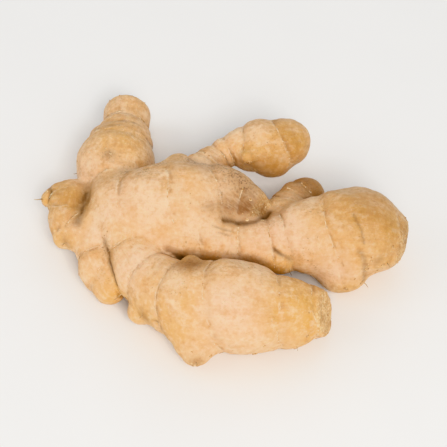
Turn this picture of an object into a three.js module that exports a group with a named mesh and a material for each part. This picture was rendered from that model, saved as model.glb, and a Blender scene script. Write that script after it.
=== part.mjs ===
// A hand of fresh ginger, which is one branched rhizome lying on a table, in millimetres with +Z up.
// The origin is on the table, under the middle of the hand. +X runs along the lowest finger and +Y to the back.
// The root grew as one piece, so it is one closed solid: swollen fingers that branch from a mother piece,
// with knobs, buds, the shallow rings of old leaf nodes and the flat scars where other fingers broke off.
// Each finger is a tube of changing radius round a smooth centreline. The fingers flow into one another at
// their roots and meet in sharp creases elsewhere, and the whole surface is then covered by one net of faces.
import * as THREE from "three";

// Driving sizes.
const NET_CELL = 3.4; // spacing of the net that covers the surface
const FOOT_HEIGHT = 1.9; // height in the drawing at which the three lowest spots are pressed flat
const SEAT = new THREE.Vector3(0.8, 3.6, -FOOT_HEIGHT); // moves the drawing so that it sits on the origin
const LINE_STEP = 4; // spacing of the straight steps that stand for a centreline
const CREASE_BLEND = 1.2; // width over which two fingers blend where they only touch
const ROOT_BLEND_GAIN = 2.4; // how much wider they blend at the root of a finger
const ROOT_REACH = 2.2; // how far that wider blend reaches, in root radii
const SCAR_EDGE = 3; // roundness of the edge of a broken end
const RING_WIDTH = 0.2; // half width of the groove round a leaf node, as a share of the stretch beside it
const RING_DEPTH = 0.06; // depth of that groove, as the same share
const RING_SWELL = 0.04; // how far a stretch between two nodes swells, as the same share
const LONGEST_RING = 10; // stretch past which a groove grows no wider or deeper
const RING_LEAN = 0.22; // how far a ring leans over the finger's height
const BARE_END = 12; // how far past a finger's ends the next nodes would be
const GRAIN_BLEND = 1; // width over which the steps of a centreline share a point of the skin
const LUMP_HEIGHT = 1.0; // height of the broad lumps over the whole skin
const COLOUR = 0xd9b27c;

// The fingers, in the order in which they join. Each point is x, y, z and the radius there, from root to tip.
// blend is the width of the joint at the root, nodes are the leaf nodes, as lengths from the root, and scar is
// the plane of a broken end: a point on it and the direction it faces.
const FINGERS = [
  {
    name: "mother piece",
    blend: 0,
    nodes: [10, 25, 41, 53],
    points: [
      [-45, -1, 25, 12.5],
      [-32, -3, 28, 16.3],
      [-16.5, -2.5, 29, 16.3],
      [-3, 1, 29, 13],
      [5.5, -2.5, 28, 11],
      [10.5, -6, 26, 9],
    ],
    scar: { at: [15, -10, 25], facing: [0.83, -0.5, 0.2] },
  },
  {
    name: "long finger",
    blend: 10,
    nodes: [12, 27, 43, 50, 68, 86],
    points: [
      [-20, -12, 20.5, 14.5],
      [-8, -15.5, 21.3, 12.8],
      [5, -18.5, 22, 10],
      [20, -18.5, 22, 11],
      [38, -15.5, 22, 16.2],
      [55, -13, 22, 18.4],
      [64.5, -13.5, 20, 14.5],
    ],
    scar: { at: [76.5, -16.5, 18], facing: [0.93, -0.33, 0.05] },
  },
  {
    name: "foot lobe of the long finger",
    blend: 4,
    points: [
      [46.5, -18.5, 18, 12.6],
      [50, -24, 11.3, 10.8],
    ],
  },
  {
    name: "back branch of the long finger",
    blend: 4,
    nodes: [6, 11, 15.5, 20],
    points: [
      [22.5, -7.5, 20, 8.5],
      [29, 5, 18, 9.2],
      [35.5, 12.5, 17, 7.3],
    ],
  },
  {
    name: "knob of the long finger",
    blend: 2.5,
    points: [
      [18.5, -22, 19, 6.8],
      [22.5, -26.5, 19.5, 5.2],
    ],
  },
  {
    name: "front finger",
    blend: 7,
    nodes: [14, 30, 47, 64, 84, 98],
    points: [
      [-42, -10.5, 23, 10.3],
      [-39.5, -26, 20, 10.8],
      [-28, -40, 18, 13.5],
      [-12.5, -49.5, 19.5, 17.6],
      [3, -52.5, 20.9, 19.3],
      [17.5, -53.5, 19, 16.4],
      [31, -52, 16, 13],
      [37, -52, 15, 10.2],
    ],
    scar: { at: [42.2, -51.8, 15], facing: [0.94, -0.24, 0.22] },
  },
  {
    name: "heel knob of the front finger",
    blend: 4,
    points: [
      [-12.5, -62, 15, 9.9],
      [-12.5, -68.5, 11, 5.5],
    ],
  },
  {
    name: "elbow knob of the front finger",
    blend: 2.5,
    points: [
      [-31, -43, 14.5, 6],
      [-35.5, -48, 11.5, 4.8],
    ],
  },
  {
    name: "crease bud of the front finger",
    blend: 2,
    points: [
      [-14.5, -40, 26, 5.2],
      [-14.5, -37, 29.5, 4.2],
    ],
  },
  {
    name: "low left finger",
    blend: 3.5,
    nodes: [8, 17, 25],
    points: [
      [-55.5, -5.5, 19, 8],
      [-55, -16.5, 15, 8.5],
      [-53.5, -25, 12.5, 9],
      [-48.5, -33, 10.5, 7.5],
    ],
  },
  {
    name: "hooked left finger",
    blend: 4,
    nodes: [7, 15, 24, 31],
    points: [
      [-52.5, -11, 18, 7.3],
      [-62.5, -8.5, 17, 8.5],
      [-67, -4, 17, 8.5],
      [-66.5, 5, 19, 9.8],
      [-70.5, 9, 20, 6.7],
      [-75, 7.5, 19, 4.2],
    ],
  },
  {
    name: "knob of the hooked finger",
    blend: 2,
    points: [
      [-67.5, -7, 15, 5.5],
      [-70, -9.5, 13, 3.3],
    ],
  },
  {
    name: "back finger",
    blend: 5,
    nodes: [12, 31, 37.5, 47],
    points: [
      [-46, 5.5, 21, 11.6],
      [-48, 28.5, 18, 16.8],
      [-46, 43, 16.5, 12.6],
      [-45, 52, 15.5, 10.6],
      [-44, 60, 15, 10],
    ],
    scar: { at: [-44, 66.5, 15], facing: [0.05, 0.98, 0.18] },
  },
  {
    name: "necked finger",
    blend: 4,
    nodes: [5, 11, 17, 27, 37],
    points: [
      [-9, 19.5, 24, 8.6],
      [-2, 28, 24.5, 6.6],
      [6, 31.5, 25, 8.4],
      [17.5, 31.5, 26, 12.4],
      [26, 34, 26, 10.6],
      [30.5, 36, 26, 6.8],
    ],
  },
  {
    name: "bud of the necked finger",
    blend: 1.5,
    points: [
      [9, 24.5, 28.5, 3.6],
      [9.5, 21.5, 31, 2.6],
    ],
  },
  {
    name: "hump of the mother piece",
    blend: 4,
    points: [
      [-20, 9.5, 33, 7.3],
      [-20, 13.5, 34, 5.5],
    ],
  },
];

// A centreline: a smooth curve through a finger's points, as short straight steps that carry the radius and
// the length from the root.
function centreline(points) {
  const last = points.length - 1;
  const beyond = (end, inner) => end.map((value, i) => 2 * value - inner[i]);
  const row = [beyond(points[0], points[1]), ...points, beyond(points[last], points[last - 1])];
  const smooth = (a, b, c, d, t) =>
    0.5 * (2 * b + (c - a) * t + (2 * a - 5 * b + 4 * c - d) * t * t + (3 * b - a - 3 * c + d) * t ** 3);
  const line = [{ at: new THREE.Vector3(...points[0]), radius: points[0][3], along: 0 }];
  for (let i = 0; i < last; i++) {
    const [a, b, c, d] = row.slice(i, i + 4);
    const steps = Math.max(2, Math.ceil(Math.hypot(c[0] - b[0], c[1] - b[1], c[2] - b[2]) / LINE_STEP));
    for (let j = 1; j <= steps; j++) {
      const [x, y, z, radius] = b.map((_, k) => smooth(a[k], b[k], c[k], d[k], j / steps));
      const at = new THREE.Vector3(x, y, z);
      const before = line[line.length - 1];
      line.push({ at, radius, along: before.along + at.distanceTo(before.at) });
    }
  }
  return line;
}

// The grooves of the leaf nodes and the swelling between them, as a height taken off the skin at a place
// along a finger.
function nodeGroove(along, nodes) {
  const next = Math.max(1, nodes.findIndex((node) => node > along));
  const stretch = nodes[next] - nodes[next - 1];
  const part = THREE.MathUtils.clamp((along - nodes[next - 1]) / stretch, 0, 1);
  const size = Math.min(stretch, LONGEST_RING);
  const away = (Math.min(part, 1 - part) * stretch) / (RING_WIDTH * size);
  return size * (RING_DEPTH * Math.exp(-away * away) - RING_SWELL * Math.sin(Math.PI * part));
}

// The distance from a point to the skin of one finger, negative inside it. Every step of the centreline has a
// share in the place along it, so that the rings run smoothly round a bend.
const step = new THREE.Vector3();
const reach = new THREE.Vector3();
function fingerDistance(point, { line, nodes, scar }) {
  let nearest = Infinity;
  const parts = [];
  for (let i = 1; i < line.length; i++) {
    const a = line[i - 1];
    const b = line[i];
    step.subVectors(b.at, a.at);
    reach.subVectors(point, a.at);
    const t = THREE.MathUtils.clamp(reach.dot(step) / step.lengthSq(), 0, 1);
    reach.addScaledVector(step, -t);
    const distance = reach.length() - THREE.MathUtils.lerp(a.radius, b.radius, t);
    parts.push({ distance, place: THREE.MathUtils.lerp(a.along, b.along, t) + RING_LEAN * reach.z });
    nearest = Math.min(nearest, distance);
  }
  let along = 0;
  let shares = 0;
  for (const { distance, place } of parts) {
    const share = Math.exp((nearest - distance) / GRAIN_BLEND);
    along += share * place;
    shares += share;
  }
  nearest += nodeGroove(along / shares, nodes);
  if (!scar) return nearest;
  const past = reach.subVectors(point, scar.at).dot(scar.facing);
  return -blendedLower(-nearest, -past, SCAR_EDGE);
}

// The lower of two distances, rounded off where they are alike.
function blendedLower(a, b, width) {
  const near = Math.max(width - Math.abs(a - b), 0) / width;
  return Math.min(a, b) - (near ** 3 * width) / 6;
}

// The broad lumps of the skin.
function lumps({ x, y, z }) {
  const broad = Math.sin(x / 7.1 + 1.3 * Math.sin(y / 11)) * Math.sin(y / 6.3 + 0.9) * Math.cos(z / 8);
  const small = Math.sin(x / 3.7 + y / 5.1 + 0.5) * Math.sin(z / 4.3 + y / 6);
  return LUMP_HEIGHT * (0.6 * broad + 0.4 * small);
}

// The distance from a point to the skin of the whole hand.
function handDistance(point) {
  let distance = Infinity;
  for (const finger of hand) {
    const own = fingerDistance(point, finger);
    if (distance === Infinity) {
      distance = own;
      continue;
    }
    const far = point.distanceTo(finger.line[0].at) / (ROOT_REACH * finger.line[0].radius);
    const width = CREASE_BLEND + ROOT_BLEND_GAIN * finger.blend * Math.exp(-far * far);
    distance = blendedLower(distance, own, width);
  }
  return distance + lumps(point);
}

const hand = FINGERS.map(({ points, nodes = [], scar, ...finger }) => {
  const line = centreline(points);
  return {
    ...finger,
    line,
    nodes: [-BARE_END, ...nodes, line[line.length - 1].along + BARE_END],
    scar: scar && {
      at: new THREE.Vector3(...scar.at),
      facing: new THREE.Vector3(...scar.facing).normalize(),
    },
  };
});

// The grid of distances that the net is drawn over.
function sampledGrid() {
  const box = new THREE.Box3();
  for (const { line } of hand)
    for (const { at, radius } of line)
      box.union(new THREE.Box3().setFromCenterAndSize(at, new THREE.Vector3().setScalar(2 * radius)));
  box.expandByScalar(3 * NET_CELL);
  const size = box.getSize(new THREE.Vector3()).divideScalar(NET_CELL).ceil().addScalar(1).toArray();
  const strides = [1, size[0], size[0] * size[1]];
  const values = new Float64Array(size[0] * size[1] * size[2]);
  const point = new THREE.Vector3();
  for (let k = 0, n = 0; k < size[2]; k++)
    for (let j = 0; j < size[1]; j++)
      for (let i = 0; i < size[0]; i++, n++)
        values[n] = handDistance(point.set(i, j, k).multiplyScalar(NET_CELL).add(box.min));
  return { values, size, strides, low: box.min };
}

// Fills the few grid points where the skin would touch itself at one edge or one corner of a cell, so that
// the net is one closed surface.
function settleTouches({ values, size, strides }) {
  const JUST_INSIDE = -1e-3;
  const inside = (n) => values[n] < 0;
  const across = strides.map((_, axis) => [strides[(axis + 1) % 3], strides[(axis + 2) % 3]]);
  let settled = false;
  while (!settled) {
    settled = true;
    for (let n = 0; n < values.length - strides[0] - strides[1] - strides[2]; n++) {
      for (const [u, v] of across) {
        const [a, b, c, d] = [n, n + u, n + v, n + u + v];
        if (inside(a) !== inside(d) || inside(b) !== inside(c) || inside(a) === inside(b)) continue;
        values[inside(a) ? b : a] = JUST_INSIDE;
        settled = false;
      }
      const corners = cellCorners(n, strides);
      const within = corners.filter(inside);
      const lone = within.length === 2 ? within : corners.filter((m) => !inside(m));
      if (lone.length !== 2 || corners.indexOf(lone[0]) + corners.indexOf(lone[1]) !== 7) continue;
      const filled = within.length === 2 ? corners.find((m) => !inside(m)) : lone[0];
      values[filled] = JUST_INSIDE;
      settled = false;
    }
  }
}

// The eight grid points round a cell, with opposite corners at places that add up to seven.
function cellCorners(n, [dx, dy, dz]) {
  return [0, 1, 2, 3, 4, 5, 6, 7].map((c) => n + (c & 1) * dx + ((c >> 1) & 1) * dy + (c >> 2) * dz);
}

// The net: one corner for each cell that the skin passes through, in the middle of its crossings, and one
// square for each grid edge that the skin crosses, as two triangles.
function surfaceNet({ values, size, strides, low }) {
  const inside = (n) => values[n] < 0;
  const cornerOf = new Map();
  const corners = [];
  const triangles = [];
  for (let k = 0; k < size[2] - 1; k++)
    for (let j = 0; j < size[1] - 1; j++)
      for (let i = 0; i < size[0] - 1; i++) {
        const n = i + j * strides[1] + k * strides[2];
        const around = cellCorners(n, strides);
        const middle = new THREE.Vector3();
        let crossings = 0;
        around.forEach((m, c) => {
          [1, 2, 4].forEach((bit, axis) => {
            const other = around[c | bit];
            if (c & bit || inside(m) === inside(other)) return;
            const at = new THREE.Vector3(c & 1, (c >> 1) & 1, c >> 2);
            at.setComponent(axis, values[m] / (values[m] - values[other]));
            middle.add(at);
            crossings++;
          });
        });
        if (!crossings) continue;
        cornerOf.set(n, corners.length);
        middle.divideScalar(crossings).add(new THREE.Vector3(i, j, k));
        corners.push(ontoSkin(middle.multiplyScalar(NET_CELL).add(low)));
      }
  for (let n = 0; n < values.length; n++)
    strides.forEach((along, axis) => {
      if (inside(n) === inside(n + along) || n + along >= values.length) return;
      const u = strides[(axis + 1) % 3];
      const v = strides[(axis + 2) % 3];
      const square = [n - u - v, n - v, n, n - u].map((m) => cornerOf.get(m));
      if (!inside(n)) square.reverse();
      const [a, b, c, d] = square;
      const shortAC = corners[a].distanceTo(corners[c]) < corners[b].distanceTo(corners[d]);
      triangles.push(...(shortAC ? [a, b, c, a, c, d] : [a, b, d, b, c, d]));
    });
  return { corners, triangles };
}

// Moves a corner of the net onto the skin, by no more than a part of a cell, and presses it flat on a foot.
function ontoSkin(corner) {
  const PROBE = 0.4;
  const FARTHEST = 0.3 * NET_CELL;
  const start = corner.clone();
  const slope = new THREE.Vector3();
  for (let pass = 0; pass < 2; pass++) {
    [0, 1, 2].forEach((axis) => {
      const ahead = corner.clone().setComponent(axis, corner.getComponent(axis) + PROBE);
      const behind = corner.clone().setComponent(axis, corner.getComponent(axis) - PROBE);
      slope.setComponent(axis, (handDistance(ahead) - handDistance(behind)) / (2 * PROBE));
    });
    corner.addScaledVector(slope, -handDistance(corner) / Math.max(slope.lengthSq(), 0.25));
    corner.sub(start).clampLength(0, FARTHEST).add(start);
  }
  corner.z = Math.max(corner.z, FOOT_HEIGHT);
  return corner;
}

const grid = sampledGrid();
settleTouches(grid);
const net = surfaceNet(grid);
const geometry = new THREE.BufferGeometry().setFromPoints(net.corners).setIndex(net.triangles);
geometry.computeVertexNormals();

const skin = new THREE.MeshStandardMaterial({ color: COLOUR, roughness: 0.62, metalness: 0 });
const rhizome = new THREE.Mesh(geometry, skin);
rhizome.name = "rhizome";
rhizome.position.copy(SEAT);

const ginger = new THREE.Group();
ginger.add(rhizome);

export default ginger;
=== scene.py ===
import math

import bpy
import numpy as np
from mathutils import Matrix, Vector


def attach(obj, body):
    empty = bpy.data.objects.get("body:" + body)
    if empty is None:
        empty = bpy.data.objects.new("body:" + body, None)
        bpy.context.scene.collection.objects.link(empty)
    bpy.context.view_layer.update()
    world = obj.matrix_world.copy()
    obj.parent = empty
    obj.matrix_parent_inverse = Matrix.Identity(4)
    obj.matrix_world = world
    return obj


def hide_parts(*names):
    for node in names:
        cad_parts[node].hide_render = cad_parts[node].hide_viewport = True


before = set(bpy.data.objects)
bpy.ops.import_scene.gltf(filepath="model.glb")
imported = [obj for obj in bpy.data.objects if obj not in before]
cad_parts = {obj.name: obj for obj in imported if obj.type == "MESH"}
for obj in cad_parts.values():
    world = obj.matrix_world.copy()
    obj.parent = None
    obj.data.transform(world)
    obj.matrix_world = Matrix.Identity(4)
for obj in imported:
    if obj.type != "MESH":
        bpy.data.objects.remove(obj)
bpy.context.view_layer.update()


# The rhizome in its skin. A hand of fresh ginger is one branched underground stem: swollen fingers of juicy
# flesh under a thin papery skin. It grew as one piece, so one closed mesh covers all the fingers. The fingers
# flow into one another at their roots, meet in sharp creases elsewhere, and end in buds or in broken scars.
MM = 0.001
FOOT = 1.9  # height in the drawing of the spots that are pressed flat on the table
SEAT = np.array([0.8, 3.6, -FOOT])  # moves the drawing, in millimetres, onto the table
SKIN_CELL = 0.84  # spacing of the fine net that covers the skin
BLOCK = 4  # cells along the side of a block that is sampled roughly first
NEAR_BLOCK = 1.2  # distance from the skin, in sides of a block, up to which a block is sampled in full
GRID_MARGIN = 3  # room that the grid leaves round the fingers
LINE_STEP = 4  # spacing of the straight steps that stand for a centreline
CREASE_BLEND = 1.0  # width over which two fingers blend where they only touch
ROOT_BLEND_GAIN = 2.4  # how much wider they blend at the root of a finger
ROOT_REACH = 2.2  # how far that wider blend reaches, in root radii
SCAR_EDGE = 2.4  # roundness of the edge of a broken end
RING_WIDTH = 0.2  # half width of the groove round a leaf node, as a share of the stretch beside it
RING_DEPTH = 0.06  # depth of that groove, as the same share
RING_SWELL = 0.04  # how far a stretch between two nodes swells, as the same share
LONGEST_RING = 10  # stretch past which a groove grows no wider or deeper
RING_LEAN = 0.22  # how far a ring leans over the finger's height
BARE_END = 12  # how far past a finger's ends the next nodes would be
GRAIN_BLEND = 1  # width over which the steps of a centreline share a point of the skin
LUMP_HEIGHT = 1.0  # height of the broad lumps over the whole skin

# Each finger's centreline from root to tip, as x, y, z and radius, with the width of its joint, the lengths
# from the root to its leaf nodes, and for a broken end a point on the break and the direction it faces.
FINGERS = [
    {"name": "mother piece", "blend": 0, "nodes": [10, 25, 41, 53], "line": [
        (-45, -1, 25, 12.5), (-32, -3, 28, 16.3), (-16.5, -2.5, 29, 16.3), (-3, 1, 29, 13),
        (5.5, -2.5, 28, 11), (10.5, -6, 26, 9)],
        "scar": ((15, -10, 25), (0.83, -0.5, 0.2))},
    {"name": "long finger", "blend": 10, "nodes": [12, 27, 43, 50, 68, 86], "line": [
        (-20, -12, 20.5, 14.5), (-8, -15.5, 21.3, 12.8), (5, -18.5, 22, 10), (20, -18.5, 22, 11),
        (38, -15.5, 22, 16.2), (55, -13, 22, 18.4), (64.5, -13.5, 20, 14.5)],
        "scar": ((76.5, -16.5, 18), (0.93, -0.33, 0.05))},
    {"name": "foot lobe of the long finger", "blend": 4, "nodes": [], "line": [
        (46.5, -18.5, 18, 12.6), (50, -24, 11.3, 10.8)]},
    {"name": "back branch of the long finger", "blend": 4, "nodes": [6, 11, 15.5, 20], "line": [
        (22.5, -7.5, 20, 8.5), (29, 5, 18, 9.2), (35.5, 12.5, 17, 7.3)]},
    {"name": "knob of the long finger", "blend": 2.5, "nodes": [], "line": [
        (18.5, -22, 19, 6.8), (22.5, -26.5, 19.5, 5.2)]},
    {"name": "front finger", "blend": 7, "nodes": [14, 30, 47, 64, 84, 98], "line": [
        (-42, -10.5, 23, 10.3), (-39.5, -26, 20, 10.8), (-28, -40, 18, 13.5), (-12.5, -49.5, 19.5, 17.6),
        (3, -52.5, 20.9, 19.3), (17.5, -53.5, 19, 16.4), (31, -52, 16, 13), (37, -52, 15, 10.2)],
        "scar": ((42.2, -51.8, 15), (0.94, -0.24, 0.22))},
    {"name": "heel knob of the front finger", "blend": 4, "nodes": [], "line": [
        (-12.5, -62, 15, 9.9), (-12.5, -68.5, 11, 5.5)]},
    {"name": "elbow knob of the front finger", "blend": 2.5, "nodes": [], "line": [
        (-31, -43, 14.5, 6), (-35.5, -48, 11.5, 4.8)]},
    {"name": "crease bud of the front finger", "blend": 2, "nodes": [], "line": [
        (-14.5, -40, 26, 5.2), (-14.5, -37, 29.5, 4.2)]},
    {"name": "low left finger", "blend": 3.5, "nodes": [8, 17, 25], "line": [
        (-55.5, -5.5, 19, 8), (-55, -16.5, 15, 8.5), (-53.5, -25, 12.5, 9), (-48.5, -33, 10.5, 7.5)]},
    {"name": "hooked left finger", "blend": 4, "nodes": [7, 15, 24, 31], "line": [
        (-52.5, -11, 18, 7.3), (-62.5, -8.5, 17, 8.5), (-67, -4, 17, 8.5), (-66.5, 5, 19, 9.8),
        (-70.5, 9, 20, 6.7), (-75, 7.5, 19, 4.2)]},
    {"name": "knob of the hooked finger", "blend": 2, "nodes": [], "line": [
        (-67.5, -7, 15, 5.5), (-70, -9.5, 13, 3.3)]},
    {"name": "back finger", "blend": 5, "nodes": [12, 31, 37.5, 47], "line": [
        (-46, 5.5, 21, 11.6), (-48, 28.5, 18, 16.8), (-46, 43, 16.5, 12.6), (-45, 52, 15.5, 10.6),
        (-44, 60, 15, 10)],
        "scar": ((-44, 66.5, 15), (0.05, 0.98, 0.18))},
    {"name": "necked finger", "blend": 4, "nodes": [5, 11, 17, 27, 37], "line": [
        (-9, 19.5, 24, 8.6), (-2, 28, 24.5, 6.6), (6, 31.5, 25, 8.4), (17.5, 31.5, 26, 12.4),
        (26, 34, 26, 10.6), (30.5, 36, 26, 6.8)]},
    {"name": "bud of the necked finger", "blend": 1.5, "nodes": [], "line": [
        (9, 24.5, 28.5, 3.6), (9.5, 21.5, 31, 2.6)]},
    {"name": "hump of the mother piece", "blend": 4, "nodes": [], "line": [
        (-20, 9.5, 33, 7.3), (-20, 13.5, 34, 5.5)]},
]


def centreline(points):
    """A smooth curve through a finger's points, as rows of x, y, z, radius and the length from the root."""
    before = np.multiply(2, points[0]) - points[1]
    beyond = np.multiply(2, points[-1]) - points[-2]
    row = np.array([before, *points, beyond], float)
    line = [row[1]]
    for a, b, c, d in zip(row, row[1:], row[2:], row[3:]):
        steps = max(2, math.ceil(np.linalg.norm(c[:3] - b[:3]) / LINE_STEP))
        for t in np.arange(1, steps + 1) / steps:
            bend = (2 * a - 5 * b + 4 * c - d) * t * t + (3 * b - a - 3 * c + d) * t ** 3
            line.append(0.5 * (2 * b + (c - a) * t + bend))
    line = np.array(line)
    lengths = np.linalg.norm(np.diff(line[:, :3], axis=0), axis=1)
    return np.column_stack([line, np.concatenate([[0], np.cumsum(lengths)])])


def blended_lower(a, b, width):
    """The lower of two distances, rounded off where they are alike."""
    near = np.maximum(width - np.abs(a - b), 0) / width
    return np.minimum(a, b) - near ** 3 * width / 6


def node_groove(along, nodes):
    """The groove of the leaf nodes and the swelling between them, as a height taken off the skin."""
    place = np.clip(along, nodes[0], nodes[-1] - 1e-6)
    after = np.searchsorted(nodes, place, side="right")
    stretch = nodes[after] - nodes[after - 1]
    part = (place - nodes[after - 1]) / stretch
    size = np.minimum(stretch, LONGEST_RING)
    away = np.minimum(part, 1 - part) * stretch / (RING_WIDTH * size)
    return size * (RING_DEPTH * np.exp(-away ** 2) - RING_SWELL * np.sin(np.pi * part))


def past_scar(points, finger):
    """How far points lie beyond the plane of a broken end."""
    at, facing = np.array(finger["scar"])
    return (points - at) @ facing / np.linalg.norm(facing)


def finger_distance(points, finger):
    """How far points are outside one finger, with the place along it, and the step off its centreline and its
    heading there. Each step of the centreline has a share in these, so that they change smoothly."""
    line = finger["centreline"]
    parts = []
    for a, b in zip(line, line[1:]):
        stretch = b[:3] - a[:3]
        reach = points - a[:3]
        t = np.clip(reach @ stretch / (stretch @ stretch), 0, 1)
        off = reach - t[:, None] * stretch
        distance = np.linalg.norm(off, axis=1) - (a[3] + t * (b[3] - a[3]))
        parts.append((distance, a[4] + t * (b[4] - a[4]), off, stretch / np.linalg.norm(stretch)))
    nearest = np.min([distance for distance, *_ in parts], axis=0)
    share = [np.exp((nearest - distance) / GRAIN_BLEND) for distance, *_ in parts]
    shares = sum(share)
    along = sum(s * part[1] for s, part in zip(share, parts)) / shares
    off = sum(s[:, None] * part[2] for s, part in zip(share, parts)) / shares[:, None]
    heading = sum(s[:, None] * part[3] for s, part in zip(share, parts)) / shares[:, None]
    nearest = nearest + node_groove(along + RING_LEAN * off[:, 2], finger["reach"])
    if "scar" in finger:
        nearest = -blended_lower(-nearest, -past_scar(points, finger), SCAR_EDGE)
    return nearest, along, off, heading


def lumps(points):
    """The broad lumps of the whole skin."""
    x, y, z = points.T
    broad = np.sin(x / 7.1 + 1.3 * np.sin(y / 11)) * np.sin(y / 6.3 + 0.9) * np.cos(z / 8)
    small = np.sin(x / 3.7 + y / 5.1 + 0.5) * np.sin(z / 4.3 + y / 6)
    return LUMP_HEIGHT * (0.6 * broad + 0.4 * small)


def hand_distance(points):
    """How far points are outside the whole hand."""
    total = None
    for finger in FINGERS:
        own = finger_distance(points, finger)[0]
        if total is None:
            total = own
            continue
        root = finger["centreline"][0]
        far = np.linalg.norm(points - root[:3], axis=1) / (ROOT_REACH * root[3])
        width = CREASE_BLEND + ROOT_BLEND_GAIN * finger["blend"] * np.exp(-far ** 2)
        total = blended_lower(total, own, width)
    return total + lumps(points)


def sampled_grid():
    """The distances on a fine grid, worked out in full only in the blocks that the skin may pass through."""
    lines = np.vstack([finger["centreline"] for finger in FINGERS])
    low = (lines[:, :3] - lines[:, 3:4]).min(0) - GRID_MARGIN
    high = (lines[:, :3] + lines[:, 3:4]).max(0) + GRID_MARGIN
    side = BLOCK * SKIN_CELL
    count = np.ceil((high - low) / side).astype(int)
    blocks = np.moveaxis(np.indices(count), 0, -1).reshape(-1, 3)
    values = hand_distance(low + (blocks + 0.5) * side - SKIN_CELL / 2).reshape(count)
    for axis in range(3):
        values = values.repeat(BLOCK, axis)
    near = np.abs(values) < NEAR_BLOCK * side
    values[near] = hand_distance(low + np.argwhere(near) * SKIN_CELL)
    return values, low


def corner_view(values, corner):
    """The grid as seen from one corner of its cells."""
    return values[tuple(slice(c, n - 1 + c) for c, n in zip(corner, values.shape))]


def settle_touches(values):
    """Fills the grid points where the skin would touch itself along one edge or at one corner of a cell."""
    JUST_INSIDE = -1e-3
    settled = False
    while not settled:
        settled = True
        for axis in range(3):
            u, v = (axis + 1) % 3, (axis + 2) % 3
            views = {}
            for du, dv in np.ndindex(2, 2):
                part = [slice(None)] * 3
                part[u] = slice(du, values.shape[u] - 1 + du)
                part[v] = slice(dv, values.shape[v] - 1 + dv)
                views[du, dv] = values[tuple(part)]
            inside = {place: view < 0 for place, view in views.items()}
            touch = inside[0, 0] & inside[1, 1] & ~inside[1, 0] & ~inside[0, 1]
            cross = inside[1, 0] & inside[0, 1] & ~inside[0, 0] & ~inside[1, 1]
            views[1, 0][touch] = JUST_INSIDE
            views[0, 0][cross] = JUST_INSIDE
            settled = settled and not touch.any() and not cross.any()
        corners = {c: corner_view(values, c) for c in np.ndindex(2, 2, 2)}
        count = sum((view < 0).astype(int) for view in corners.values())
        for corner in ((0, 0, 0), (0, 0, 1), (0, 1, 0), (1, 0, 0)):
            near = corners[corner]
            far = corners[tuple(1 - c for c in corner)]
            beside = corners[corner[0], corner[1], 1 - corner[2]]
            joined = (count == 2) & (near < 0) & (far < 0)
            parted = (count == 6) & (near >= 0) & (far >= 0)
            beside[joined] = JUST_INSIDE
            near[parted] = JUST_INSIDE
            settled = settled and not joined.any() and not parted.any()


def surface_net(values, low):
    """One vertex in each cell that the skin passes through, and one square round each edge it crosses."""
    inside = values < 0
    count = sum(corner_view(inside, c).astype(np.int8) for c in np.ndindex(2, 2, 2))
    active = (count > 0) & (count < 8)
    cells = np.argwhere(active)
    number = np.full(active.shape, -1)
    number[active] = np.arange(len(cells))
    total = np.zeros((len(cells), 3))
    crossings = np.zeros(len(cells))
    steps = np.eye(3, dtype=int)
    for corner in np.ndindex(2, 2, 2):
        for axis in range(3):
            if corner[axis]:
                continue
            a = values[tuple((cells + corner).T)]
            b = values[tuple((cells + corner + steps[axis]).T)]
            crossed = (a < 0) != (b < 0)
            at = (cells + corner)[crossed].astype(float)
            at[:, axis] += (a / np.where(crossed, a - b, 1))[crossed]
            total[crossed] += at
            crossings[crossed] += 1
    squares = []
    for axis in range(3):
        ahead, u, v = steps[axis], steps[(axis + 1) % 3], steps[(axis + 2) % 3]
        here = inside[tuple(slice(1 - a, -1) for a in ahead)]
        there = inside[tuple(slice(1, None if a else -1) for a in ahead)]
        for leaving, crossed in ((True, here & ~there), (False, ~here & there)):
            at = np.argwhere(crossed) + 1 - ahead
            around = np.stack([number[tuple((at - s).T)] for s in (u + v, v, 0 * u, u)], 1)
            squares.append(around if leaving else around[:, ::-1])
    return total / crossings[:, None] * SKIN_CELL + low, np.vstack(squares)


def normals_of(corners, squares):
    """The outward direction at each corner of a net."""
    a, b, c, d = (corners[squares[:, i]] for i in range(4))
    across = np.cross(c - a, d - b)
    outward = np.zeros_like(corners)
    for i in range(4):
        np.add.at(outward, squares[:, i], across)
    return outward / np.maximum(np.linalg.norm(outward, axis=1, keepdims=True), 1e-9)


for finger in FINGERS:
    finger["centreline"] = centreline(finger["line"])
    finger["reach"] = np.array([-BARE_END, *finger["nodes"], finger["centreline"][-1, 4] + BARE_END])
grid, grid_low = sampled_grid()
settle_touches(grid)
corners, squares = surface_net(grid, grid_low)
farthest = 0.3 * SKIN_CELL
for _ in range(2):
    miss = np.clip(hand_distance(corners), -farthest, farthest)
    corners = corners - miss[:, None] * normals_of(corners, squares)
outward = normals_of(corners, squares)

# What the pattern of the skin follows. A grain runs along each finger, rings go round it at its leaf nodes,
# and knobs and buds wear the grain of the finger below. Other values say how near a broken end is, how near
# the seam where one finger's grain meets another's is, and how shut in each place is.
SEAM_WIDTH = 2.2  # how far to each side of a seam the pattern fades
GRAIN_APART = 200  # keeps the grains of two fingers from being alike
RING_WAVER = 0.45  # how far a ring wavers to either side
SCAR_RIM = 1.2  # how far the look of a broken end comes down over its edge
SCAR_FADE = 0.35  # width over which that look fades
HOLLOW_REACHES = (3, 7)  # heights above the skin at which it is felt whether a place is shut in

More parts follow.
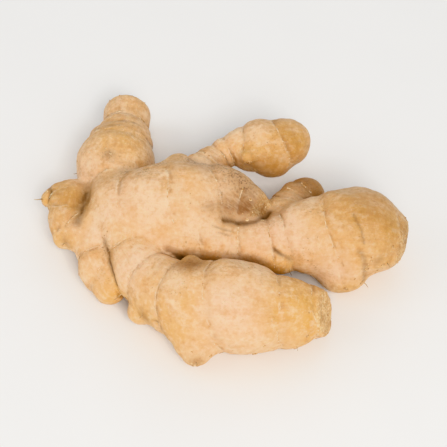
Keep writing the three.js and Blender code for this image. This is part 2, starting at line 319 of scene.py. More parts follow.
ringed = [finger for finger in FINGERS if finger["nodes"]]
own = [finger_distance(corners, finger) for finger in ringed]
distances = np.stack([distance for distance, *_ in own])
owner = distances.argmin(0)
two_nearest = np.sort(distances, axis=0)[:2]
seam = np.exp(-((two_nearest[1] - two_nearest[0]) / SEAM_WIDTH) ** 2)
grain = np.zeros((len(corners), 3))
node = np.zeros((len(corners), 3))
forward = np.zeros((len(corners), 3))
ring = np.zeros(len(corners))
scar = np.zeros(len(corners))
waver = np.sin(corners[:, 0] / 2.9 + corners[:, 2] / 3.7) + np.sin(corners[:, 1] / 3.3 - corners[:, 2] / 2.3)
for i, finger in enumerate(ringed):
    mine = owner == i
    _, along, off, heading = (values[mine] for values in own[i])
    side = np.cross([0, 0, 1], heading)
    side /= np.linalg.norm(side, axis=1, keepdims=True)
    rise = np.cross(heading, side)
    round_it = np.stack([(off * side).sum(1), (off * rise).sum(1)], 1)
    round_it /= np.maximum(np.linalg.norm(round_it, axis=1, keepdims=True), 1e-6)
    past_end = np.where(along > finger["centreline"][-1, 4] - 0.01, (off * heading).sum(1), 0)
    thickness = finger["centreline"][:, 3].mean()
    grain[mine] = np.column_stack([along + past_end + GRAIN_APART * i, thickness * round_it])
    forward[mine] = heading
    place = along + RING_LEAN * off[:, 2] + RING_WAVER * waver[mine]
    ring[mine] = np.interp(place, finger["reach"], np.arange(len(finger["reach"])))
    turn = 2 * np.pi * ring[mine]
    after = np.clip(np.searchsorted(finger["reach"], place), 1, len(finger["reach"]) - 1)
    stretch = finger["reach"][after] - finger["reach"][after - 1]
    node[mine] = np.column_stack([np.cos(turn), np.sin(turn), stretch])
    if "scar" in finger:
        scar[mine] = 1 / (1 + np.exp(-(past_scar(corners[mine], finger) + SCAR_RIM) / SCAR_FADE))
shut_in = [np.clip(1 - hand_distance(corners + reach * outward) / reach, 0, 1) for reach in HOLLOW_REACHES]
hollow = sum(shut_in) / len(shut_in)


def patches(places):
    """How much of a tint each corner of the net has, from a few soft round patches in the drawing."""
    total = np.zeros(len(corners))
    for x, y, z, radius, strength in places:
        away = np.linalg.norm(corners - (x, y, z), axis=1)
        total = np.maximum(total, strength * np.exp(-(away / radius) ** 2))
    return total


def strokes(lines):
    """How much of a crease each corner of the net has, from a few crooked lines with their half widths."""
    total = np.zeros(len(corners))
    for half_width, strength, points in lines:
        for a, b in zip(np.array(points), np.array(points[1:])):
            t = np.clip((corners - a) @ (b - a) / ((b - a) @ (b - a)), 0, 1)
            away = np.linalg.norm(corners - a - t[:, None] * (b - a), axis=1)
            total = np.maximum(total, strength * np.exp(-(away / half_width) ** 2))
    return total


# Where the skin is tinted, worn, torn, marked by roots or flaking, and where shade and a highlight are
# painted on it, as x, y, z, radius and strength.
TINTS = {
    "tip": [],
    "gold": [
        (-20, -65, 23, 12, 0.6), (-16, -60, 33, 6, 0.6), (29, 28, 34, 11, 1), (18, 20, 30, 11, 1),
        (68, -20, 30, 19, 1), (58, -21, 38, 16, 1), (-67, -15, 19, 5, 0.7), (-45, -41, 14, 7, 0.9),
        (34, -60, 24, 18, 1), (26, -62, 28, 12, 1), (-72, 4, 24, 9, 0.8), (-49, 30, 34, 17, 0.6),
        (22, -30, 20, 7, 1), (37, 14, 24, 9, 1), (-33, -54, 18, 6, 1), (-53, -24, 24, 6, 0.4),
        (-66, 0, 27, 9, 0.9), (51, -34, 9, 8, 0.8)],
    # Pink patches: the skin's own pink blush, and on the top of the front finger a painted highlight.
    "pink": [
        (20, -23, 33, 13, 1), (3, -65, 34, 14, 0.8), (-58, 18, 28, 12, 1), (-54, -20, 23, 8, 0.8),
        (-65, -12, 24, 6, 0.6), (-2, 6, 42, 12, 0.4), (-39, -36, 29, 9, 0.6), (47, -33, 19, 8, 0.9),
        (-44, -8, 36, 12, 0.6)],
    # Dark tan patches: the skin's own colour in places, and painted shade on the necked finger, the back
    # branch and the long finger's end.
    "brown": [
        (-12, -74, 12, 4, 0.6), (-50, 20, 34, 2.2, 0.7), (-14, -41, 33, 6.5, 1), (35, 12, 24, 11, 0.75),
        (-33, -54, 17, 4, 0.5), (18, 18, 26, 10, 0.55), (29, 28, 33, 10, 0.28), (-26, -41, 31, 4, 0.3),
        (4, -1, 40, 7, 0.3), (-8, 8, 41, 8, 0.2), (60, -17, 37, 18, 0.45), (70, -22, 28, 14, 0.34),
        (76, -16, 24, 8, 0.4), (-66, -1, 27, 8, 0.4), (-60, 0, 27, 4, 0.3), (-68, -16, 18, 3, 0.5),
        (64, -30, 24, 4, 0.5)],
    "specked": [
        (-42.5, 6, 38, 5, 0.6), (-35, 4, 42, 5, 0.5), (-28, 8, 42, 5, 0.6), (-15, 12, 39, 6, 0.8),
        (-1, 7, 41, 6, 0.8), (4, 4, 40, 6, 0.9), (8, 0, 39, 6, 1), (-14, -41, 33, 6, 0.5),
        (35, 12, 24, 8, 0.5), (-50, 20, 34, 4, 0.4)],
    "torn": [(9, -10, 32, 8, 1), (15, -10, 28, 7, 0.9), (1, -12.5, 35, 7, 0.75), (-6, -14, 38, 5, 0.5)],
    "eyed": [
        (-2.9, 23.9, 30, 1.2, 1), (9.8, 21.1, 33.4, 1.2, 1), (-51, -28, 21, 1.2, 1), (24, -30.5, 25, 1, 1)],
    "flaky": [
        (64, -30.5, 23, 5, 0.6), (-77, 7, 22, 2.5, 0.5), (-45, -41, 15, 4, 0.4), (-12, -74, 13, 3, 0.5),
        (12, -13, 32, 5, 0.4), (-52, 20, 34, 3, 0.3), (26, -30, 24, 2, 0.4)],
}
TIP_RADIUS = 7
for finger in FINGERS:
    if "scar" not in finger:
        before, last = finger["centreline"][-2:]
        tip = last + (last - before) * last[3] / (last[4] - before[4])
        TINTS["tip"].append((*tip[:3], TIP_RADIUS, 1))

# The creases that are sharper than where two fingers meet, as half width, strength and points on the skin.
# The relief cuts them in, and the skin is darkened along them as painted shade.
CREASES = [
    (1.2, 0.9, [(-0.4, -16.9, 34.3), (3.8, -16.1, 31.8), (8.6, -16.9, 32.2), (12.7, -16.1, 32),
                (16.8, -11, 29.3), (18.7, -7.7, 28.9)]),
    (2.8, 0.6, [(-59.5, 7, 26.9), (-59.7, 3, 26.7), (-60.8, -1.5, 26.4), (-61.8, -6.5, 26.6),
                (-62.8, -10.3, 25.8)]),
    (1.2, 0.95, [(-59.6, 4.8, 26.9), (-60.3, 1.6, 26.3), (-61, -2.5, 26.5), (-61.6, -6, 26.6)]),
    (2.4, 0.5, [(-50.7, -21.8, 24.8), (-49.5, -25.3, 23.1), (-48.8, -29.5, 23.1), (-48.1, -33, 22.4)]),
    (1.2, 0.9, [(-50, -24, 23.8), (-49, -28, 23), (-48.3, -32, 22.6), (-46.9, -36.3, 20.6),
                (-45.7, -38.5, 18.1)]),
    (1, 0.75, [(20.4, -28, 28.1), (22.9, -29.1, 26.7), (26.6, -29.2, 24), (27.5, -29, 20.5)]),
    (1.4, 0.4, [(56, -30.5, 29.8), (57.8, -31.6, 26.8), (58.5, -32, 22.3), (58.8, -31.6, 17.2),
                (59, -30.8, 11.4)]),
    (0.6, 0.4, [(-5.4, -20.7, 35.3), (-0.6, -21.2, 33.1), (2.5, -21.3, 32.4)]),
    (0.6, 0.4, [(-3.1, -22.7, 33), (1, -22.9, 31.9), (5.5, -23, 31)]),
    (0.6, 0.3, [(-5.5, -24.2, 32.6), (-1.5, -24.6, 31.4)]),
    (0.8, 0.8, [(-75.6, 10.8, 23), (-75.2, 7.5, 24.6), (-75.6, 4.4, 21.5)]),
    (0.8, 0.6, [(-30.7, -55.3, 22.3), (-29.8, -57, 18.9), (-28.2, -58.9, 18.9)]),
    (0.6, 0.4, [(53.5, -18.6, 40), (54.3, -20.3, 39.2), (55.1, -22, 38.2), (56.6, -23.8, 36.7),
                (57.1, -25.7, 35.3), (57.7, -28.4, 32.9)]),
]


def new_object(name, data):
    """An object in the scene that holds this mesh, lamp or camera."""
    made = bpy.data.objects.new(name, data)
    bpy.context.scene.collection.objects.link(made)
    return made


def carry(mesh, name, values):
    """Gives each vertex of a mesh its own number or vector."""
    kind, field = ("FLOAT", "value") if values.ndim == 1 else ("FLOAT_VECTOR", "vector")
    mesh.attributes.new(name, kind, "POINT").data.foreach_set(field, values.ravel())


skin_mesh = bpy.data.meshes.new("skin")
skin_mesh.from_pydata(((corners + SEAT) * MM).tolist(), [], squares.tolist())
skin_mesh.polygons.foreach_set("use_smooth", np.ones(len(squares), bool))
pattern = {"grain": grain, "node": node, "scar": scar, "seam": seam, "hollow": hollow}
pattern["crease"] = strokes(CREASES)
for name, places in TINTS.items():
    pattern[name] = patches(places)
for name, values in pattern.items():
    carry(skin_mesh, name, values)
skin = new_object("skin", skin_mesh)


def linear(colour):
    """The shader's colour for a colour written as 0xRRGGBB."""
    parts = [((colour >> shift) & 255) / 255 for shift in (16, 8, 0)]
    return (*[c / 12.92 if c <= 0.04045 else ((c + 0.055) / 1.055) ** 2.4 for c in parts], 1)


class Wire:
    """One output of a node, in a material or in a Geometry Nodes tree. A sum of wires adds its Math nodes."""

    def __init__(self, tree, socket=None):
        self.tree = tree
        self.socket = socket

    def node(self, kind, settings=None, inputs=None, output=0):
        """Adds a node with its settings, then the value, the wire or the list of wires of each input, and
        gives one of its outputs."""
        made = self.tree.nodes.new(kind)
        for name, value in (settings or {}).items():
            setattr(made, name, value)
        for name, value in (inputs or {}).items():
            if isinstance(value, Wire):
                value = [value]
            if isinstance(value, list):
                for wire in value:
                    self.tree.links.new(wire.socket, made.inputs[name])
            else:
                made.inputs[name].default_value = value
        return Wire(self.tree, made.outputs[output] if made.outputs else None)

    def beside(self, output):
        """Another output of the node that this wire comes from."""
        return Wire(self.tree, self.socket.node.outputs[output])

    def math(self, operation, *values):
        """A sum on numbers and wires."""
        return self.node("ShaderNodeMath", {"operation": operation}, dict(enumerate(values)))

    def vector(self, operation, *values):
        """A sum on vectors and wires that carry vectors."""
        return self.node("ShaderNodeVectorMath", {"operation": operation}, dict(enumerate(values)))

    def __add__(self, other):
        return self.math("ADD", self, other)

    def __radd__(self, other):
        return self.math("ADD", other, self)

    def __sub__(self, other):
        return self.math("SUBTRACT", self, other)

    def __rsub__(self, other):
        return self.math("SUBTRACT", other, self)

    def __mul__(self, other):
        return self.math("MULTIPLY", self, other)

    def __rmul__(self, other):
        return self.math("MULTIPLY", other, self)

    def scaled(self, factor):
        """This vector, so many times as long."""
        return self.node("ShaderNodeVectorMath", {"operation": "SCALE"}, {0: self, "Scale": factor})

    def part(self, axis):
        """One of the three numbers of this vector."""
        return self.node("ShaderNodeSeparateXYZ", {}, {0: self}, output=axis)

    def rise(self, low, high):
        """A smooth step from 0 at low to 1 at high. Where low is the higher number, it falls."""
        return self.node("ShaderNodeMapRange", {"interpolation_type": "SMOOTHSTEP"},
                         {"Value": self, "From Min": low, "From Max": high})

    def noise(self, place, long, wide, detail=2, roughness=0.55, output="Fac"):
        """Noise from 0 to 1 whose lumps are so many millimetres long along the grain and wide across it."""
        return self.node("ShaderNodeTexNoise", {}, {
            "Vector": self.vector("MULTIPLY", place, (1 / long, 1 / wide, 1 / wide)),
            "Scale": 1.0, "Detail": detail, "Roughness": roughness}, output)

    def mixed(self, under, over):
        """The colour under, turning to the colour over where this wire is 1. Both may be 0xRRGGBB."""
        under, over = (linear(colour) if isinstance(colour, int) else colour for colour in (under, over))
        settings = {"data_type": "RGBA", "clamp_factor": True}
        return self.node("ShaderNodeMix", settings, {0: self, 6: under, 7: over}, output=2)

    def attribute(self, name, output="Fac"):
        """A value that the mesh carries, in a material."""
        return self.node("ShaderNodeAttribute", {"attribute_name": name}, output=output)

    def named(self, name, kind="FLOAT"):
        """A value that the mesh carries, in a Geometry Nodes tree."""
        return self.node("GeometryNodeInputNamedAttribute", {"data_type": kind}, {"Name": name})

    def position(self):
        """The place of each vertex or point, in a Geometry Nodes tree."""
        return self.node("GeometryNodeInputPosition")


def new_material(name):
    """An empty material, with a wire to start from and the place on the object in millimetres."""
    material = bpy.data.materials.new(name)
    material.use_nodes = True
    material.node_tree.nodes.clear()
    start = Wire(material.node_tree)
    return material, start, start.node("ShaderNodeTexCoord", output="Object").scaled(1 / MM)


def finish_material(start, colour, roughness, height, inputs):
    """Ends a material in a matte shader with this colour, roughness and height in millimetres."""
    bump = start.node("ShaderNodeBump", {}, {"Height": height, "Distance": MM, "Strength": 1.0})
    shader = start.node("ShaderNodeBsdfPrincipled", {}, {
        "Base Color": colour, "Roughness": roughness, "Normal": bump, **inputs})
    start.node("ShaderNodeOutputMaterial", {}, {"Surface": shader})


def ginger_skin():
    """The thin papery skin: tan with golden and pink places, mottled, streaked, specked and ringed, and
    darkened with painted shade in its hollows and creases.
    """
    material, start, place = new_material("ginger_skin")
    grain = start.attribute("grain", "Vector")
    worn = start.attribute("scar")
    torn = start.attribute("torn")
    gold = start.attribute("gold")
    specked = start.attribute("specked")
    hollow = start.attribute("hollow")
    clear = (1 - start.attribute("seam").rise(0.05, 0.7)) * (1 - 0.75 * worn)

    broad = start.noise(place, 17, 17, 3)
    dusty = start.noise(place, 11, 11, 2).rise(0.5, 0.68)
    blotch = start.noise(place, 5, 5, 4, 0.62)
    mottle = start.noise(place, 2.1, 2.1, 3, 0.7)
    speck = start.noise(place, 0.9, 0.9, 2)
    band = start.noise(grain, 4.5, 13, 3, 0.6)
    streak = start.noise(grain, 15, 1.9, 4, 0.6)
    fibre = start.noise(grain, 6, 0.45, 2, 0.6)
    paper = start.noise(grain, 6, 4.5, 6, 0.66)
    fan = start.noise(grain, 7, 1.4, 4, 0.65).rise(0.34, 0.66) * clear

    turned = start.attribute("node", "Vector")
    past = start.math("ARCTAN2", turned.part(1), turned.part(0)) * turned.part(2) * (0.5 / math.pi)
    past = past + (start.noise(place, 1.6, 1.6) - 0.5) * 0.8
    broken = start.noise(place, 6, 6, 3).rise(0.44, 0.62) * clear
    pale_line = start.math("ABSOLUTE", past).rise(0.55, 0.1) * broken
    dark_line = start.math("ABSOLUTE", past - 0.8).rise(1.0, 0.1) * broken
    past_ring = start.math("ABSOLUTE", past - 2).rise(3, 0.4) * clear
    scar_colour = speck.rise(0.35, 0.65).mixed(0xD0A066, 0xEFD2A2)
    scar_colour = (blotch.rise(0.45, 0.62) * 0.5).mixed(scar_colour, 0xAE7B46)

    colour = broad.rise(0.36, 0.64).mixed(0xDFB380, 0xEAC8A2)
    layers = [
        (band.rise(0.5, 0.68) * 0.45 * clear, 0xDDA96A),  # warm bands round the fingers
        ((1 - band).rise(0.52, 0.7) * 0.5 * clear, 0xEBCBA4),  # pale bands between them
        # pink blush of the skin, and a painted highlight on the top of the front finger
        (start.attribute("pink") * (0.35 + 0.6 * blotch), 0xEAC5A7),
        (gold * (0.48 + 0.6 * blotch), 0xD6A14C),
        (start.attribute("tip") * 0.5, 0xDDAE62),
        (paper.rise(0.52, 0.62) * 0.35 * clear, 0xEED3B2),  # where the skin is thick and papery
        ((1 - blotch).rise(0.5, 0.72) * 0.5, 0xC48F56),
        (mottle.rise(0.5, 0.68) * 0.36, 0xF3DAB6),
        ((1 - mottle).rise(0.5, 0.68) * 0.36, 0xBA844C),
        ((1 - streak).rise(0.48, 0.75) * 0.24 * clear, 0xBC8856),
        (fibre.rise(0.52, 0.8) * 0.16 * clear, 0xF3DCBE),
        (speck.rise(0.68, 0.76) * (0.35 + 0.5 * dusty), 0x84582C),
        (speck.rise(0.56, 0.7) * dusty * 0.35, 0x9C7448),
        (past_ring * 0.3 * blotch, 0xB07C46),  # the shade past each ring
        # a thin dark line beside each ring: darker skin at the ring scar, and painted shade below its edge
        (dark_line * 0.34, 0x946234),
        (pale_line * 0.36, 0xF2DEBE),
        (worn * 0.9, scar_colour),
        # dark tan patches: the skin's own colour in places, and painted shade on the necked finger, the back
        # branch and the long finger's end
        (start.attribute("brown") * (0.5 + 0.9 * blotch), 0x93643A),
        (specked * (0.1 + 0.5 * blotch), 0xB08456),
        (speck.rise(0.5, 0.66) * specked * 0.75, 0x6E4A2A),
        (torn * (0.4 + 0.5 * fan + 0.6 * blotch), 0x8C5D33),
        (hollow.rise(0.35, 0.9) * 0.64, 0x8E5A28),  # soil and shade in the hollows
        # painted shade, darkest in the deepest hollows
        (hollow.rise(0.8, 1.0) * 0.7, 0x4C2C0E),
        # painted shade along the sharp creases
        (start.attribute("crease") * (0.6 + 0.6 * blotch), 0x5A3610),
    ]
    for share, tint in layers:
        colour = share.mixed(colour, tint)

    roughness = 0.5 + 0.14 * paper + 0.1 * blotch + 0.2 * worn - 0.08 * gold
    height = (0.10 * streak + 0.05 * fibre + 0.05 * paper.rise(0.5, 0.56)) * clear
    height = height + 0.06 * speck + 0.12 * mottle
    height = height + 0.14 * pale_line - 0.16 * dark_line + worn * (0.25 * blotch + 0.3 * speck)
    height = height + torn * (0.22 * fan + 0.3 * speck)
    finish_material(start, colour, roughness, height, {
        "Specular IOR Level": 0.4, "Subsurface Weight": 0.12, "Subsurface Radius": (0.004, 0.0022, 0.001),
        "Subsurface Scale": 1.0})
    return material


def new_tree(name, sizes):
    """A Geometry Nodes tree with a named input for each size, and the wires of its inputs."""
    tree = bpy.data.node_groups.new(name, "GeometryNodeTree")
    tree.interface.new_socket("Geometry", in_out="OUTPUT", socket_type="NodeSocketGeometry")
    tree.interface.new_socket("Geometry", in_out="INPUT", socket_type="NodeSocketGeometry")
    for size in sizes:
        tree.interface.new_socket(size, in_out="INPUT", socket_type="NodeSocketFloat")
    entry = tree.nodes.new("NodeGroupInput")
    return [Wire(tree, socket) for socket in entry.outputs[:1 + len(sizes)]]


def finish_tree(geometry, material):
    """Ends a tree in one real mesh of this material."""
    real = geometry.node("GeometryNodeRealizeInstances", {}, {0: geometry})
    painted = geometry.node("GeometryNodeSetMaterial", {}, {"Geometry": real, "Material": material})
    geometry.node("NodeGroupOutput", {}, {0: painted})


def grow(piece, tree, sizes):
    """Runs a tree on a piece with these sizes, and leaves the result as the piece's own plain mesh."""
    modifier = piece.modifiers.new(tree.name, "NODES")
    modifier.node_group = tree
    for item in tree.interface.items_tree:
        if item.in_out == "INPUT" and item.name in sizes:
            modifier[item.identifier] = sizes[item.name]
    depsgraph = bpy.context.evaluated_depsgraph_get()
    made = bpy.data.meshes.new_from_object(
        piece.evaluated_get(depsgraph), preserve_all_data_layers=True, depsgraph=depsgraph)
    piece.modifiers.remove(modifier)
    piece.data = made


RELIEF = {
    "Wrinkle height": 0.26 * MM,
    "Lump height": 0.55 * MM,
    "Scar height": 1.1 * MM,
    "Crease depth": 0.8 * MM,
}
geometry, wrinkle_height, lump_height, scar_height, crease_depth = new_tree("skin_relief", RELIEF)
position = geometry.position()
place = position.scaled(1 / MM)
wrinkles = geometry.noise(geometry.named("grain", "FLOAT_VECTOR"), 12, 2.6, 2) - 0.5
small_lumps = geometry.noise(place, 6, 6, 3) - 0.5
tears = geometry.noise(place, 2.4, 2.4, 3, 0.7) - 0.5
relief = wrinkles * wrinkle_height * (1 - geometry.named("seam")) + small_lumps * lump_height
relief = relief + tears * scar_height * (geometry.named("scar") + 0.6 * geometry.named("torn"))
relief = relief - crease_depth * geometry.named("crease")
moved = position.vector("ADD", position, geometry.node("GeometryNodeInputNormal").scaled(relief))
above_table = moved.vector("MAXIMUM", moved, (-1, -1, 0))
shaped = geometry.node("GeometryNodeSetPosition", {}, {"Geometry": geometry, "Position": above_table})
finish_tree(shaped, ginger_skin())
grow(skin, geometry.tree, RELIEF)
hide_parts("rhizome")
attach(skin, "root")


# The fringes of the leaf scales. Each ring round a finger is where a thin scale leaf sat. The leaf has
# withered away, and a ragged papery edge of it, a fraction of a millimetre high, still stands in places.
def corner_values(mesh, name):
    """A vector of each vertex of a mesh."""
    values = np.empty(3 * len(mesh.vertices))
    mesh.vertices.foreach_get(name, values)
    return values.reshape(-1, 3)


def ring_lines(mesh):
    """The rings on the skin: points with the ways outward and along the finger, and the pairs that join."""
    facts = np.hstack([corner_values(mesh, "co"), corner_values(mesh, "normal"), forward])
    triangles = np.vstack([squares[:, [0, 1, 2]], squares[:, [0, 2, 3]]])
    triangles = triangles[np.ptp(owner[triangles], axis=1) == 0]
    level = np.round(ring[triangles].mean(1))
    past = ring[triangles] - level[:, None]
    last = np.array([len(finger["nodes"]) for finger in ringed])[owner[triangles[:, 0]]]
    crossed = (past.min(1) < 0) & (past.max(1) > 0) & (level >= 1) & (level <= last)
    rows, pairs, number = [], [], {}
    for triangle, heights in zip(triangles[crossed], past[crossed]):
        pair = []
        for a, b in ((0, 1), (1, 2), (2, 0)):
            if heights[a] * heights[b] > 0:
                continue
            edge = frozenset((triangle[a], triangle[b]))
            if edge not in number:
                number[edge] = len(rows)
                share = heights[a] / (heights[a] - heights[b])
                rows.append((1 - share) * facts[triangle[a]] + share * facts[triangle[b]])
            pair.append(number[edge])
        if len(pair) == 2:
            pairs.append(pair)
    return np.array(rows), pairs


def papery(name, dark, pale, fleck, size):
    """Dry plant tissue: mottled between two colours, with darker flecks of this size in millimetres."""
    material, start, place = new_material(name)
    mottle = start.noise(place, size, size, 3, 0.65)
    flecks = start.noise(place, size / 3, size / 3, 2)
    colour = mottle.rise(0.38, 0.62).mixed(dark, pale)
    colour = (flecks.rise(0.55, 0.7) * 0.6).mixed(colour, fleck)
    height = 0.08 * flecks + 0.05 * mottle
    finish_material(start, colour, 0.62 + 0.2 * mottle, height, {"Specular IOR Level": 0.3})
    return material


FRINGE = {"Fringe height": 0.62 * MM, "Fringe thickness": 0.26 * MM, "Fringe step": 0.5 * MM}
FRINGE_LEAN = 0.9  # how far a fringe leans along the finger, for each step out of the skin
WORN_AWAY = 0.49  # level of the noise above which a fringe is gone
geometry, fringe_height, fringe_thickness, fringe_step = new_tree("leaf_fringes", FRINGE)
place = geometry.position().scaled(1 / MM)
by_the_table = place.part(2).rise(2, 1)
gone = geometry.math("GREATER_THAN", geometry.noise(place, 5, 5, 2) + by_the_table, WORN_AWAY)
left = geometry.node("GeometryNodeDeleteGeometry", {}, {"Geometry": geometry, "Selection": gone})
lines = geometry.node("GeometryNodeMeshToCurve", {}, {"Mesh": left})
lines = geometry.node("GeometryNodeResampleCurve", {"mode": "LENGTH"}, {
    "Curve": lines, "Length": fringe_step})
smooth = geometry.node("GeometryNodeBlurAttribute", {"data_type": "FLOAT_VECTOR"}, {
    "Value": geometry.position(), "Iterations": 3})
lines = geometry.node("GeometryNodeSetPosition", {}, {"Geometry": lines, "Position": smooth})
lean = geometry.vector("ADD", geometry.named("outward", "FLOAT_VECTOR"),
                       geometry.named("forward", "FLOAT_VECTOR").scaled(FRINGE_LEAN))
lines = geometry.node("GeometryNodeSetCurveNormal", {"mode": "FREE"}, {"Curve": lines, "Normal": lean})
ragged = geometry.noise(place, 0.9, 0.9, 2).rise(0.3, 0.7) * geometry.noise(place, 3.5, 3.5, 1).rise(0.3, 0.6)
wedge_size = geometry.node("ShaderNodeCombineXYZ", {}, {"X": fringe_height, "Y": fringe_thickness, "Z": 1.0})
wedge = geometry.node("GeometryNodeCurvePrimitiveCircle", {}, {"Resolution": 3, "Radius": 1.0})
wedge = geometry.node("GeometryNodeTransform", {}, {"Geometry": wedge, "Scale": wedge_size})
strips = geometry.node("GeometryNodeCurveToMesh", {}, {
    "Curve": lines, "Profile Curve": wedge, "Scale": 0.25 + 0.75 * ragged, "Fill Caps": True})
finish_tree(strips, papery("leaf_fringe", 0xC9975C, 0xF0DCB8, 0x8A5C30, 1.2))

rows, pairs = ring_lines(skin.data)
ring_mesh = bpy.data.meshes.new("leaf_fringes")
ring_mesh.from_pydata(rows[:, :3].tolist(), pairs, [])
carry(ring_mesh, "outward", rows[:, 3:6])
carry(ring_mesh, "forward", rows[:, 6:])
fringes = new_object("leaf_fringes", ring_mesh)
grow(fringes, geometry.tree, FRINGE)
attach(fringes, "root")


# The eyes. Where thin roots broke off, and where buds never grew, the skin has small round scars with a
# raised pale rim and a dark plug. Most sit on the underside. Two show on the neck of the thin finger, and
# two beside creases.
def piece_on_skin(name, tree, sizes):
    """A new piece that a tree grows from the skin."""
    piece = new_object(name, skin.data.copy())
    grow(piece, tree, sizes)
    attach(piece, "root")


def scattered(geometry, spacing, share, instance, seed, smallest, largest):
    """Copies of an instance on the skin, at least spacing apart, with this share of the places filled."""
    TRIED_PLACES = 5e6  # for each square metre, many more than fit at the smallest spacing
    off_table = geometry.position().part(2).rise(1.2 * MM, 1.6 * MM)
    spots = geometry.node("GeometryNodeDistributePointsOnFaces", {"distribute_method": "POISSON"}, {
        "Mesh": geometry, "Distance Min": spacing, "Density Max": TRIED_PLACES,
        "Density Factor": share * off_table, "Seed": seed})
    size = geometry.node("FunctionNodeRandomValue", {"data_type": "FLOAT"}, {
        "Min": smallest, "Max": largest, "Seed": seed}, output="Value")
    return geometry.node("GeometryNodeInstanceOnPoints", {}, {
        "Points": spots, "Instance": instance, "Rotation": spots.beside("Rotation"), "Scale": size})


EYES = {"Eye spacing": 7 * MM, "Eye radius": 0.75 * MM, "Rim radius": 0.22 * MM}
geometry, eye_spacing, eye_radius, rim_radius = new_tree("root_eyes", EYES)
rim_line = geometry.node("GeometryNodeCurvePrimitiveCircle", {}, {"Resolution": 14, "Radius": eye_radius})
rim_profile = geometry.node("GeometryNodeCurvePrimitiveCircle", {}, {"Resolution": 6, "Radius": rim_radius})
rim = geometry.node("GeometryNodeCurveToMesh", {}, {"Curve": rim_line, "Profile Curve": rim_profile})
plug = geometry.node("GeometryNodeMeshIcoSphere", {}, {"Radius": eye_radius, "Subdivisions": 2})
plug = geometry.node("GeometryNodeTransform", {}, {"Geometry": plug, "Scale": (0.85, 0.85, 0.3)})
eye = geometry.node("GeometryNodeJoinGeometry", {}, {0: [rim, plug]})
facing_up = geometry.node("GeometryNodeInputNormal").part(2)
share = facing_up.rise(0.35, -0.5) * 0.5 + geometry.named("eyed")
eyes = scattered(geometry, eye_spacing, share, eye, 11, 0.55, 1.2)
finish_tree(eyes, papery("root_eye", 0xA87645, 0xE2C08E, 0x6E4522, 0.8))
piece_on_skin("root_eyes", geometry.tree, EYES)


# The root threads. A washed hand keeps a few dry ends of its thin roots, each a tapering thread of a few
# millimetres that grew out of the skin. One stands on the hooked tip, and others in creases and low down.
# Each is given as x, y and z of the skin it stands on, and its size as a share of a common one.
THREAD_ROOTS = np.array([
    (-79, 6, 21.2, 1.4), (-43.5, -41.6, 15.6, 1.3), (-12.1, -74.3, 12.2, 0.7), (-36, -56, 17, 0.8),
    (26.7, -31.1, 18, 0.9), (68.1, -28.2, 19.8, 1), (-68.3, -15.2, 17.2, 0.7), (-64, 24, 17, 0.8),
    (-31.6, 30.1, 12.2, 1.1), (29.3, -66.9, 12.8, 0.8), (50.1, 4.2, 14.7, 1), (-8.2, 27.2, 18.5, 0.9),
    (38.4, 18.2, 13, 0.8), (60, -31, 8, 1)])
THREADS = {"Thread length": 2.7 * MM, "Thread radius": 0.25 * MM, "Thread bend": 1.6 * MM}
THREAD_SUNK = 0.5 * MM  # how deep a thread starts under the skin
geometry, thread_length, thread_radius, thread_bend = new_tree("root_threads", THREADS)
thread_end = geometry.node("ShaderNodeCombineXYZ", {}, {"Z": thread_length})
thread = geometry.node("GeometryNodeCurvePrimitiveLine", {}, {
    "Start": (0, 0, -THREAD_SUNK), "End": thread_end})
thread = geometry.node("GeometryNodeResampleCurve", {"mode": "COUNT"}, {"Curve": thread, "Count": 9})
facing = geometry.node("FunctionNodeAlignRotationToVector", {"axis": "Z"}, {
    "Vector": geometry.named("outward", "FLOAT_VECTOR")})
threads = geometry.node("GeometryNodeInstanceOnPoints", {}, {
    "Points": geometry, "Instance": thread, "Rotation": facing, "Scale": geometry.named("share")})
threads = geometry.node("GeometryNodeRealizeInstances", {}, {0: threads})
position = geometry.position()
along = geometry.node("GeometryNodeSplineParameter")
wander = geometry.noise(position.scaled(1 / MM), 4, 4, 2, output="Color")
wander = geometry.vector("SUBTRACT", wander, (0.5, 0.5, 0.6))
bent = position.vector("ADD", position, wander.scaled(thread_bend * 2 * along * along))
threads = geometry.node("GeometryNodeSetPosition", {}, {"Geometry": threads, "Position": bent})
stalk = geometry.node("GeometryNodeCurvePrimitiveCircle", {}, {"Resolution": 6, "Radius": thread_radius})
threads = geometry.node("GeometryNodeCurveToMesh", {}, {
    "Curve": threads, "Profile Curve": stalk, "Scale": (1 - 0.75 * along) * geometry.named("share"),
    "Fill Caps": True})
finish_tree(threads, papery("root_thread", 0x8E7048, 0xC8AC80, 0x5E4426, 1.5))

nearest = [np.linalg.norm(corners - root, axis=1).argmin() for root in THREAD_ROOTS[:, :3]]
thread_mesh = bpy.data.meshes.new("root_threads")
thread_mesh.from_pydata(((corners[nearest] + SEAT) * MM).tolist(), [], [])
carry(thread_mesh, "outward", outward[nearest])
carry(thread_mesh, "share", THREAD_ROOTS[:, 3])
root_threads = new_object("root_threads", thread_mesh)
grow(root_threads, geometry.tree, THREADS)
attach(root_threads, "root")


# The skin's flakes. Round the broken ends and on the tips of buds the papery skin has dried and come loose in
# small curled flakes that still cling to the flesh.
FLAKES = {"Flake spacing": 1.7 * MM, "Flake length": 0.95 * MM}
FLAKE_TILT = 0.35  # angle between a flake and the skin, in radians
geometry, flake_spacing, flake_length = new_tree("skin_flakes", FLAKES)
flake = geometry.node("GeometryNodeMeshIcoSphere", {}, {"Radius": flake_length, "Subdivisions": 2})
flake = geometry.node("GeometryNodeTransform", {}, {
    "Geometry": flake, "Rotation": (0, FLAKE_TILT, 0), "Scale": (1, 0.6, 0.16)})
broken_end = geometry.named("scar")
share = broken_end * (1 - broken_end) * 1.6 + broken_end * 0.1 + geometry.named("flaky")
flakes = scattered(geometry, flake_spacing, share * 0.7, flake, 3, 0.4, 1.2)
finish_tree(flakes, papery("skin_flake", 0xB98650, 0xEBD2A6, 0x8A5C30, 1.0))
piece_on_skin("skin_flakes", geometry.tree, FLAKES)


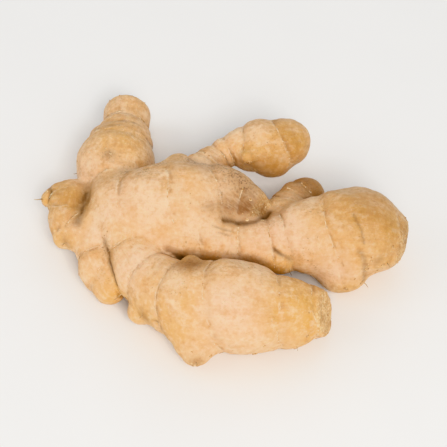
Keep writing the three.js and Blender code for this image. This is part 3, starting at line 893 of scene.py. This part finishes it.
# The studio: a pale floor without an edge in sight, three large soft lights, and a long lens at the height
# from which the hand was photographed.
HALF_FLOOR = 3.0
floor_mesh = bpy.data.meshes.new("floor")
floor_corners = [(-1, -1), (1, -1), (1, 1), (-1, 1)]
floor_mesh.from_pydata([(x * HALF_FLOOR, y * HALF_FLOOR, 0) for x, y in floor_corners], [], [(0, 1, 2, 3)])
floor = new_object("floor", floor_mesh)
paint, start, place = new_material("pale_floor")
cloud = start.noise(place, 45, 45, 3)
tooth = start.noise(place, 0.7, 0.7, 2)
pale = cloud.rise(0.3, 0.7).mixed((0.862, 0.857, 0.847, 1), (0.878, 0.873, 0.863, 1))
finish_material(start, pale, 0.64 + 0.12 * cloud, 0.03 * tooth, {})
floor_mesh.materials.append(paint)

LIGHTS = {
    "key": {"at": (0.2, -0.86, 0.83), "size": 0.6, "power": 11.5, "colour": (1, 0.985, 0.96)},
    "side": {"at": (-0.95, -0.15, 0.6), "size": 0.8, "power": 3.0, "colour": (1, 1, 1)},
    "back": {"at": (0.2, 0.9, 0.8), "size": 0.8, "power": 1.8, "colour": (1, 1, 1)},
}
for name, facts in LIGHTS.items():
    lamp = bpy.data.lights.new(name, "AREA")
    lamp.size = facts["size"]
    lamp.energy = facts["power"]
    lamp.color = facts["colour"]
    light = new_object(name, lamp)
    light.location = facts["at"]
    light.rotation_euler = (-Vector(facts["at"])).to_track_quat("-Z", "Y").to_euler()
world = bpy.data.worlds.new("studio")
world.use_nodes = True
world.node_tree.nodes["Background"].inputs["Color"].default_value = (1, 1, 1, 1)
world.node_tree.nodes["Background"].inputs["Strength"].default_value = 0.5
bpy.context.scene.world = world
bpy.context.scene.view_settings.view_transform = "Khronos PBR Neutral"

VIEW_HEIGHT = math.radians(50)
VIEW_DISTANCE = 0.9
VIEW_CENTRE = Vector((0.0, 0.012, 0.0))
camera = new_object("camera", bpy.data.cameras.new("camera"))
back = Vector((0, -math.cos(VIEW_HEIGHT), math.sin(VIEW_HEIGHT)))
camera.location = VIEW_CENTRE + VIEW_DISTANCE * back
camera.rotation_euler = (-back).to_track_quat("-Z", "Y").to_euler()
camera.data.lens = 165
camera.data.sensor_width = 36
bpy.context.scene.camera = camera
